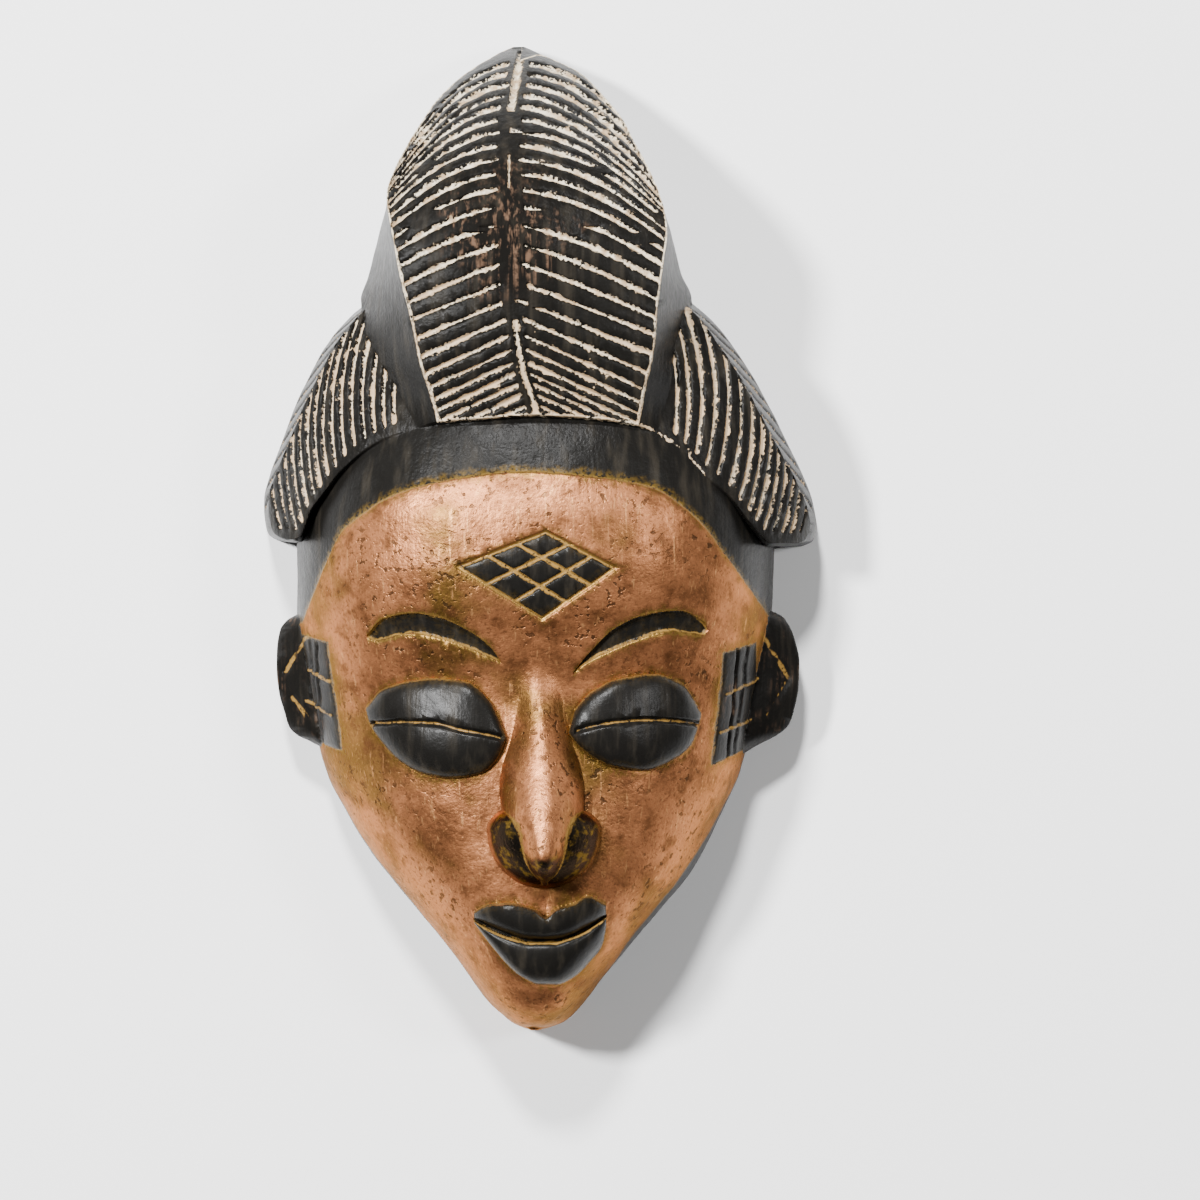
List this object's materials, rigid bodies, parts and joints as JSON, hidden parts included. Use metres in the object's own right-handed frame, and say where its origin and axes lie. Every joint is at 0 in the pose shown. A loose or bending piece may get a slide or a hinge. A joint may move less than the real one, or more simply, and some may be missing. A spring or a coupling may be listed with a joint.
{
  "type": "african mask",
  "caption": "Carved wooden face mask with closed coffee-bean eyes, a lozenge on the forehead, side lobes of hair and a tall grooved crest, hollow at the back.",
  "frame": {"origin": "on the plane of the back rim, under the middle of the outline", "axes": "+X towards the mask's left ear as it faces out, +Y from the chin to the crest, +Z out of the face"},
  "size_m": [0.1976, 0.3488, 0.0988],
  "materials": {
    "painted_wood": "black and copper paint, cream in the grooves, rubbed and worn"
  },
  "bodies": {
    "root": {"mask": "painted_wood"}
  },
  "joints": []
}
